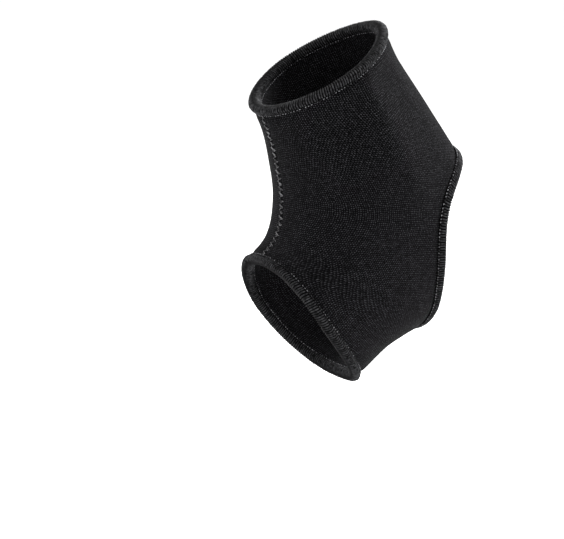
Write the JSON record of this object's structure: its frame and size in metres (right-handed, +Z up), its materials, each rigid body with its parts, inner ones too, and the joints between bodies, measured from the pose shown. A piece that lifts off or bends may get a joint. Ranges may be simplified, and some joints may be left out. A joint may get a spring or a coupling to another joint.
{
  "type": "ankle brace",
  "caption": "Pull-on neoprene ankle brace: a bent sleeve, open at the top, in front and over the heel, with a stitched hem round each opening.",
  "frame": {"origin": "the middle of the ankle, at the middle of the bend of the sleeve's centre line", "axes": "+Z up as the picture shows it worn, the front opening towards -X, the heel opening towards +X, the sides at -Y and +Y; the top stretch leans 23 degrees forward"},
  "size_m": [0.1061, 0.074, 0.1693],
  "materials": {
    "neoprene": "matt black knitted jersey over neoprene foam",
    "thread": "black overlock thread with a slight sheen"
  },
  "bodies": {
    "root": {"sleeve": "neoprene", "top_hem": "thread", "front_hem": "thread", "heel_hem": "thread"}
  },
  "joints": []
}
